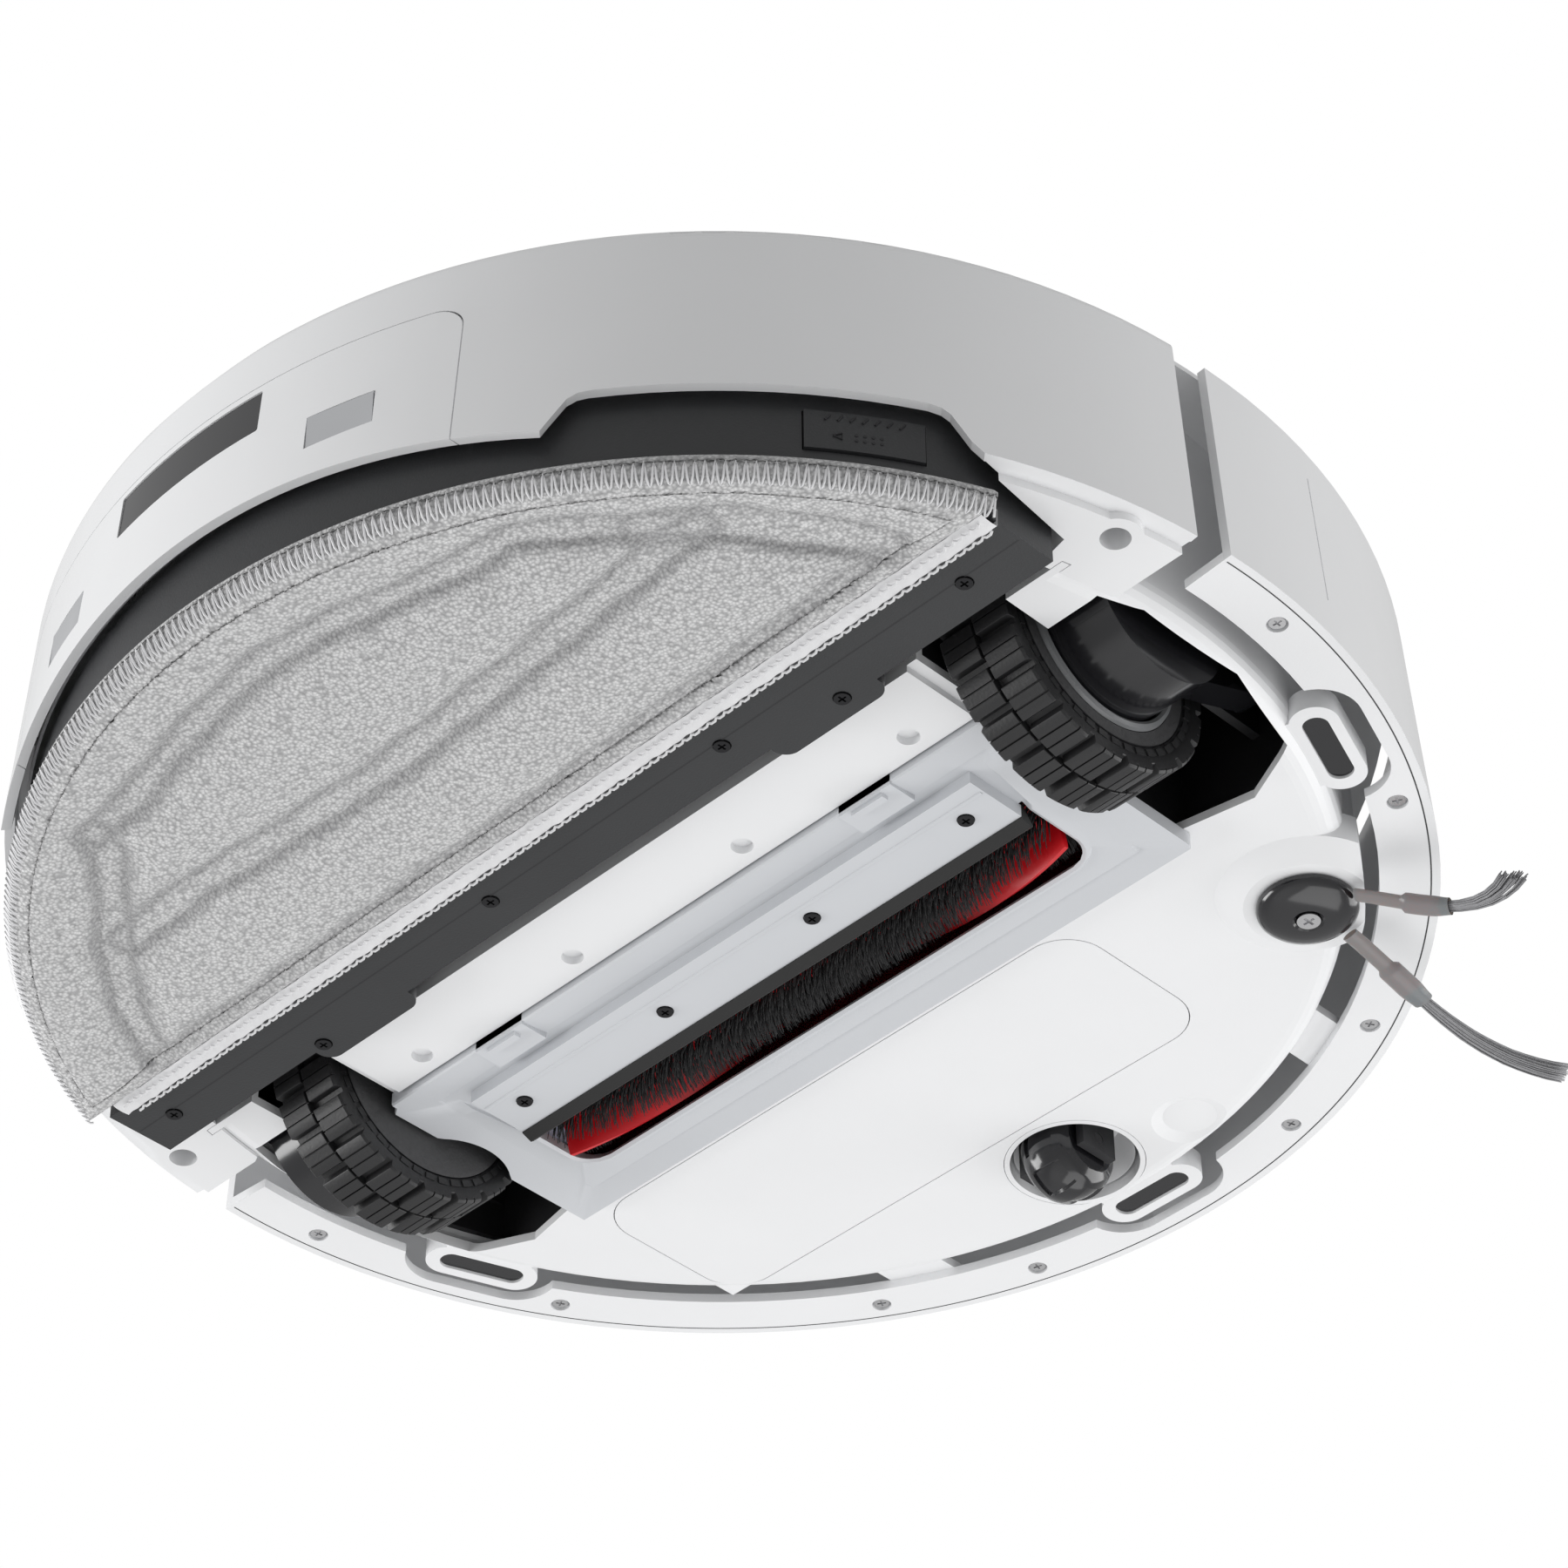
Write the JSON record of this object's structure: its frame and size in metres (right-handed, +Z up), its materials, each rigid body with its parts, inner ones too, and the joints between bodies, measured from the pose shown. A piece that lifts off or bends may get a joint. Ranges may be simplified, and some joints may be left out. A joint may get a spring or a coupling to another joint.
{
  "type": "robot vacuum",
  "caption": "Round robot vacuum: belly with main and side brush, sprung drive wheels, caster, bumper, lidar turret, lid over a dustbin, and a D-shaped mop pad.",
  "frame": {"origin": "centre of the round body, on the plane that touches the underside of the hanging drive wheels", "axes": "+Z up, -Y forwards (towards the bumper), +X towards the port side of the robot"},
  "size_m": [0.3492, 0.3512, 0.106],
  "materials": {
    "white_belly": "satin",
    "white_shell": "satin gloss",
    "white_deck": "satin gloss",
    "contact_plate": "satin",
    "black_window": "gloss",
    "battery_wrap": "satin",
    "circuit_board": "satin",
    "black_plastic": "matte",
    "grey_plastic": "satin",
    "chamber_red": "gloss",
    "guard_grey": "satin",
    "black_rubber": "matte",
    "bearing_blue": "satin",
    "screw_black": "satin",
    "screw_steel": "bright",
    "well_black": "matte",
    "charcoal_plastic": "fine textured",
    "brush_red": "satin",
    "bristle_black": "matte bristle",
    "gloss_black": "gloss",
    "arm_rubber": "translucent satin",
    "tuft_grey": "bristle",
    "tyre_rubber": "matte",
    "spring_steel": "bright",
    "mop_cloth": "looped cloth",
    "smoke_clear": "smoked clear",
    "filter_paper": "pleated"
  },
  "bodies": {
    "chassis": {"bottom_chassis": "white_belly", "side_shell": "white_shell", "top_deck": "white_deck", "dock_panel": "white_shell", "charge_contacts": "contact_plate", "ir_window": "black_window", "battery_cover": "white_belly", "battery_pack": "battery_wrap", "main_board": "circuit_board", "fan_housing": "black_plastic", "brush_chamber": "chamber_red", "brush_guard": "guard_grey", "scraper_bar": "guard_grey", "scraper_blade": "black_rubber", "brush_bearing": "bearing_blue", "brush_gearbox": "black_plastic", "side_brush_motor": "black_plastic", "caster_socket": "white_belly", "cliff_windows": "black_window", "chassis_screws": "screw_black", "wheel_liners": "well_black", "bump_switches": "black_plastic", "lidar_base": "charcoal_plastic"},
    "fan": {"fan_impeller": "grey_plastic"},
    "latch_port": {"latch_left": "guard_grey"},
    "latch_starboard": {"latch_right": "guard_grey"},
    "main_brush": {"brush_core": "brush_red", "brush_bristles": "bristle_black"},
    "side_brush": {"side_brush_hub": "gloss_black", "side_brush_screw": "screw_steel"},
    "side_arm_short": {"side_arm_a": "arm_rubber", "side_tuft_a": "tuft_grey"},
    "side_arm_long": {"side_arm_b": "arm_rubber", "side_tuft_b": "tuft_grey"},
    "drive_port": {"drive_arm_left": "gloss_black", "wheel_spring_left": "spring_steel"},
    "drive_starboard": {"drive_arm_right": "gloss_black", "wheel_spring_right": "spring_steel"},
    "wheel_port": {"wheel_hub_left": "black_plastic", "tyre_left": "tyre_rubber"},
    "wheel_starboard": {"wheel_hub_right": "black_plastic", "tyre_right": "tyre_rubber"},
    "caster": {"caster_fork": "black_plastic"},
    "caster_roller": {"caster_wheel": "gloss_black"},
    "bumper": {"bumper_shell": "white_shell", "bumper_ring": "white_belly", "bumper_screws": "screw_steel"},
    "mop": {"mop_bracket": "charcoal_plastic", "mop_pad": "mop_cloth", "mop_screws": "screw_black"},
    "release_port": {"release_left": "charcoal_plastic"},
    "release_starboard": {"release_right": "charcoal_plastic"},
    "lidar": {"lidar_rotor": "black_window"},
    "lidar_top": {"lidar_cap": "white_deck"},
    "lid": {"lid": "white_deck"},
    "bin": {"dustbin": "smoke_clear", "bin_filter": "filter_paper", "water_tank": "smoke_clear"},
    "power": {"power_button": "grey_plastic"},
    "home": {"home_button": "grey_plastic"}
  },
  "joints": [
    {"name": "fan_spin", "type": "hinge", "parent": "chassis", "child": "fan", "pos_m": [0.084, 0.078, 0.059], "axis": [0, 0, 1], "continuous": true},
    {"name": "latch_port_slide", "type": "slide", "parent": "chassis", "child": "latch_port", "axis": [0, -1, 0], "range_m": [0, 0.002], "stiffness_N_per_m": 400, "springref_m": -0.002},
    {"name": "latch_starboard_slide", "type": "slide", "parent": "chassis", "child": "latch_starboard", "axis": [0, -1, 0], "range_m": [0, 0.002], "stiffness_N_per_m": 400, "springref_m": -0.002},
    {"name": "main_brush_spin", "type": "hinge", "parent": "chassis", "child": "main_brush", "pos_m": [0, -0.0265, 0.033], "axis": [1, 0, 0], "continuous": true},
    {"name": "side_brush_spin", "type": "hinge", "parent": "chassis", "child": "side_brush", "pos_m": [-0.11, -0.09, 0.017], "axis": [0, 0, 1], "continuous": true},
    {"name": "side_arm_short_flex", "type": "hinge", "parent": "side_brush", "child": "side_arm_short", "pos_m": [-0.12083, -0.09191, 0.0146], "axis": [-0.1736, 0.9848, 0], "range_deg": [0, 9], "stiffness_Nm_per_rad": 0.01},
    {"name": "side_arm_long_flex", "type": "hinge", "parent": "side_brush", "child": "side_arm_long", "pos_m": [-0.11182, -0.10085, 0.0146], "axis": [-0.9863, 0.165, 0], "range_deg": [0, 9], "stiffness_Nm_per_rad": 0.01},
    {"name": "drive_port_suspension", "type": "hinge", "parent": "chassis", "child": "drive_port", "pos_m": [0, -0.042, 0.047], "axis": [1, 0, 0], "range_deg": [0, 14], "stiffness_Nm_per_rad": 1, "springref_deg": -11.46, "deforming": ["wheel_spring_left"]},
    {"name": "drive_starboard_suspension", "type": "hinge", "parent": "chassis", "child": "drive_starboard", "pos_m": [0, -0.042, 0.047], "axis": [1, 0, 0], "range_deg": [0, 14], "stiffness_Nm_per_rad": 1, "springref_deg": -11.46, "deforming": ["wheel_spring_right"]},
    {"name": "wheel_port_spin", "type": "hinge", "parent": "drive_port", "child": "wheel_port", "pos_m": [0.117, 0.001, 0.035], "axis": [1, 0, 0], "continuous": true},
    {"name": "wheel_starboard_spin", "type": "hinge", "parent": "drive_starboard", "child": "wheel_starboard", "pos_m": [-0.117, 0.001, 0.035], "axis": [1, 0, 0], "continuous": true},
    {"name": "caster_swivel", "type": "hinge", "parent": "chassis", "child": "caster", "pos_m": [0.003, -0.1305, 0.039], "axis": [0, 0, 1], "continuous": true},
    {"name": "caster_roll", "type": "hinge", "parent": "caster", "child": "caster_roller", "pos_m": [0.003, -0.1275, 0.0215], "axis": [1, 0, 0], "continuous": true},
    {"name": "bumper_slide", "type": "slide", "parent": "chassis", "child": "bumper", "axis": [0, 1, 0], "range_m": [0, 0.004], "stiffness_N_per_m": 600, "springref_m": -0.004},
    {"name": "mop_release", "type": "slide", "parent": "chassis", "child": "mop", "axis": [0, 0, -1], "range_m": [0, 0.012]},
    {"name": "release_port_press", "type": "slide", "parent": "mop", "child": "release_port", "axis": [-0.8339, -0.5519, 0], "range_m": [0, 0.003], "stiffness_N_per_m": 500, "springref_m": -0.002},
    {"name": "release_starboard_press", "type": "slide", "parent": "mop", "child": "release_starboard", "axis": [0.8339, -0.5519, 0], "range_m": [0, 0.003], "stiffness_N_per_m": 500, "springref_m": -0.002},
    {"name": "lidar_spin", "type": "hinge", "parent": "chassis", "child": "lidar", "pos_m": [0, -0.027, 0.089], "axis": [0, 0, 1], "continuous": true},
    {"name": "lidar_cap_press", "type": "slide", "parent": "chassis", "child": "lidar_top", "axis": [0, 0, -1], "range_m": [0, 0.0012], "stiffness_N_per_m": 900, "springref_m": -0.001},
    {"name": "lid_hinge", "type": "hinge", "parent": "chassis", "child": "lid", "pos_m": [0, 0.024, 0.0871], "axis": [1, 0, 0], "range_deg": [0, 70]},
    {"name": "bin_lift", "type": "slide", "parent": "chassis", "child": "bin", "axis": [0, 0, 1], "range_m": [0, 0.032]},
    {"name": "power_press", "type": "slide", "parent": "chassis", "child": "power", "axis": [0, 0, -1], "range_m": [0, 0.0008], "stiffness_N_per_m": 800, "springref_m": -0.001},
    {"name": "home_press", "type": "slide", "parent": "chassis", "child": "home", "axis": [0, 0, -1], "range_m": [0, 0.0008], "stiffness_N_per_m": 800, "springref_m": -0.001}
  ],
  "couplings": [
    {"joint": "bin_lift", "follows": "lid_hinge", "m_per_rad": 0.025}
  ]
}
